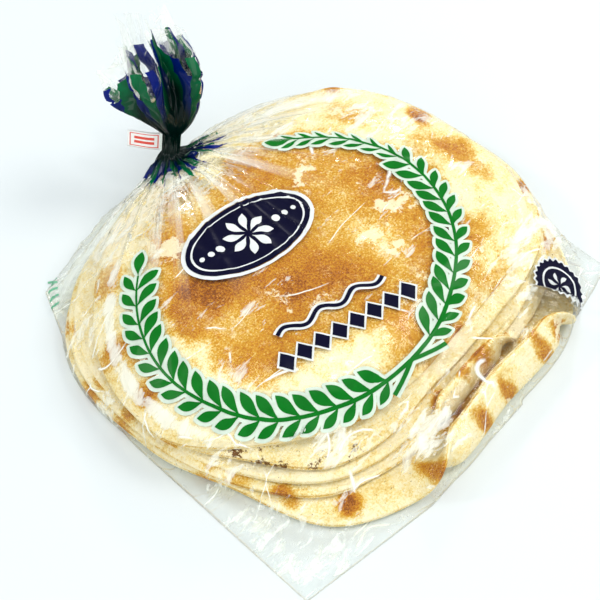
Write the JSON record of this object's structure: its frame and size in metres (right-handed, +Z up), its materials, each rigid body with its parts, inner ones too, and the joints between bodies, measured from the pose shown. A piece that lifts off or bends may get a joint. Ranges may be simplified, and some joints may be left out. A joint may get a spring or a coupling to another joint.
{
  "type": "bagged arabic flatbread",
  "caption": "Clear printed bag of large round arabic flatbreads, lying flat, with the gathered neck closed by a paper tape under a loose striped frill.",
  "frame": {"origin": "on the table surface, under the middle of the stack of breads", "axes": "+Z up out of the table, +Y towards the tied neck, +X to the right of the neck seen from above"},
  "size_m": [0.3035, 0.3151, 0.1282],
  "materials": {
    "film_and_bread": "baked flatbread under clear, creased plastic film",
    "tape": "white paper tape with a red printed border"
  },
  "bodies": {
    "root": {"filled_bag": "film_and_bread", "closing_tape": "tape"}
  },
  "joints": []
}
